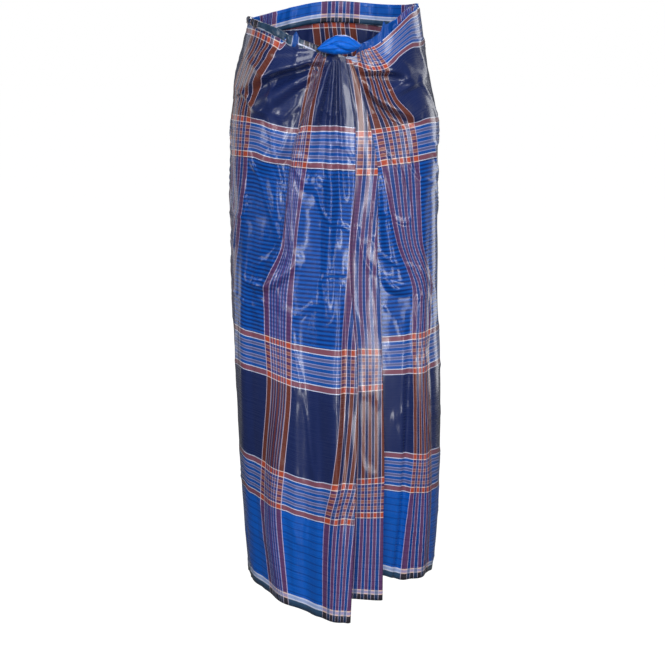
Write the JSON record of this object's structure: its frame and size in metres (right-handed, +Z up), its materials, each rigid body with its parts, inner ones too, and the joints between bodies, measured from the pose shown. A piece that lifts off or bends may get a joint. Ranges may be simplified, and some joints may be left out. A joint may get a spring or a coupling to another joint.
{
  "type": "wrapped sarong",
  "caption": "Long plaid cotton tube skirt in its worn shape: wrapped flat at the sides, lapped in knife pleats at the front and drawn into a soft knot at the waist.",
  "frame": {"origin": "middle of the waist opening, level with the knot, where the wearer holds the cloth", "axes": "+Z up the body, -Y to the front where the knot and pleats are, +X to the right as seen from the front"},
  "size_m": [0.3677, 0.3058, 1.061],
  "materials": {
    "left_panel_cloth": "glossy starched cotton, navy, blue and rust plaid",
    "middle_pleat_cloth": "glossy starched cotton, brown and blue stripes",
    "right_panel_cloth": "glossy starched cotton, navy, blue and rust plaid",
    "back_panel_cloth": "glossy starched cotton, navy, blue and rust plaid",
    "left_turn_in_cloth": "crumpled cotton, navy and brown",
    "right_turn_in_cloth": "crumpled cotton, navy and brown",
    "back_turn_in_cloth": "crumpled cotton, navy and brown",
    "knot_cloth": "bright blue cotton, twisted"
  },
  "bodies": {
    "root": {"left_panel": "left_panel_cloth", "middle_pleat": "middle_pleat_cloth", "right_panel": "right_panel_cloth", "back_panel": "back_panel_cloth", "left_turn_in": "left_turn_in_cloth", "right_turn_in": "right_turn_in_cloth", "back_turn_in": "back_turn_in_cloth", "knot": "knot_cloth"}
  },
  "joints": []
}
